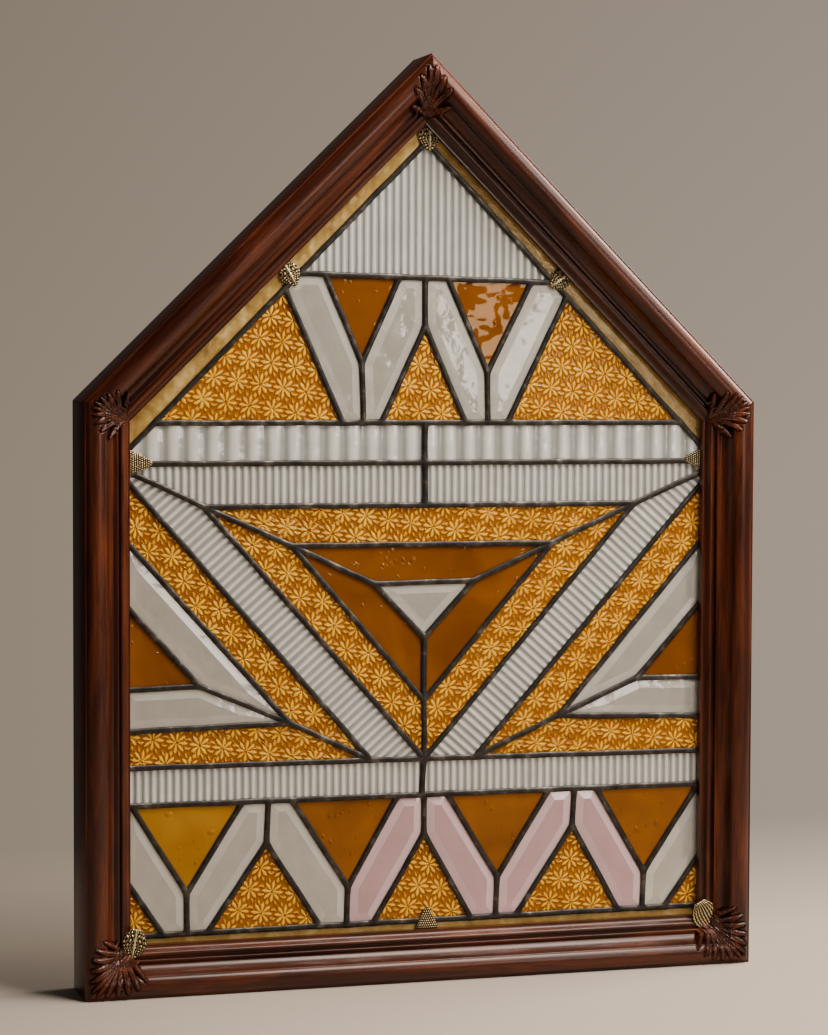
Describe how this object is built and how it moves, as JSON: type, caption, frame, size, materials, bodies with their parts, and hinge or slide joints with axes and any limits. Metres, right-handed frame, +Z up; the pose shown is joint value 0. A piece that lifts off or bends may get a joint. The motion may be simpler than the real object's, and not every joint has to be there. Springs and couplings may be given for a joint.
{
  "type": "leaded stained glass window",
  "caption": "Gable-topped leaded window in a carved and moulded hardwood frame, glazed with amber, star-patterned, reeded and bevelled glass.",
  "frame": {"origin": "middle of the flat underside of the bottom rail, halfway through the window's depth", "axes": "+Z up the window, +X to the right of someone who faces the moulded front, +Y through the glass to the back; the front faces -Y"},
  "size_m": [0.72, 0.077, 0.9589],
  "materials": {
    "wood": "dark red-brown mahogany, french polished to a soft gloss",
    "lead": null,
    "reeded_glass": "clear pressed glass with parallel reeds",
    "clear_glass": "clear plate glass with polished bevels",
    "lilac_glass": "lilac-tinted plate glass with polished bevels",
    "star_glass": "amber pressed glass with rows of eight-petalled stars",
    "amber_glass": "orange-brown seedy glass with small bubbles",
    "yellow_glass": "yellow-amber seedy glass with small bubbles",
    "gold_glass": "pale gold rippled border glass"
  },
  "bodies": {
    "root": {"frame_bottom_rail": "wood", "frame_left_rake": "wood", "frame_left_stile": "wood", "frame_right_rake": "wood", "frame_right_stile": "wood", "lead_cames": "lead", "gable_bar_1": "clear_glass", "gable_bar_2": "clear_glass", "gable_bar_3": "clear_glass", "gable_bar_4": "clear_glass", "gable_drop_left": "amber_glass", "gable_drop_right": "amber_glass", "gable_reeded_triangle": "reeded_glass", "gable_star_left": "star_glass", "gable_star_middle": "star_glass", "gable_star_right": "star_glass", "broad_reeded_left": "reeded_glass", "broad_reeded_right": "reeded_glass", "fine_reeded_left": "reeded_glass", "fine_reeded_right": "reeded_glass", "arm_reeded_left": "reeded_glass", "arm_reeded_right": "reeded_glass", "ring_amber_left": "amber_glass", "ring_amber_right": "amber_glass", "ring_amber_top": "amber_glass", "ring_star_left": "star_glass", "ring_star_right": "star_glass", "ring_star_top": "star_glass", "middle_triangle": "clear_glass", "side_amber_left": "amber_glass", "side_amber_right": "amber_glass", "side_bevel_left": "clear_glass", "side_bevel_right": "clear_glass", "side_clear_left": "clear_glass", "side_clear_right": "clear_glass", "side_star_left": "star_glass", "side_star_right": "star_glass", "base_star_left": "star_glass", "base_star_right": "star_glass", "lower_reeded_left": "reeded_glass", "lower_reeded_right": "reeded_glass", "foot_bar_1": "clear_glass", "foot_bar_2": "clear_glass", "foot_bar_3": "clear_glass", "foot_bar_4": "lilac_glass", "foot_bar_5": "lilac_glass", "foot_bar_6": "lilac_glass", "foot_bar_7": "lilac_glass", "foot_bar_8": "clear_glass", "foot_corner_star_left": "star_glass", "foot_corner_star_right": "star_glass", "foot_drop_1": "yellow_glass", "foot_drop_2": "amber_glass", "foot_drop_3": "amber_glass", "foot_drop_4": "amber_glass", "foot_star_1": "star_glass", "foot_star_2": "star_glass", "foot_star_3": "star_glass", "border_strip_foot": "gold_glass", "border_strip_rakes": "gold_glass"}
  },
  "joints": []
}
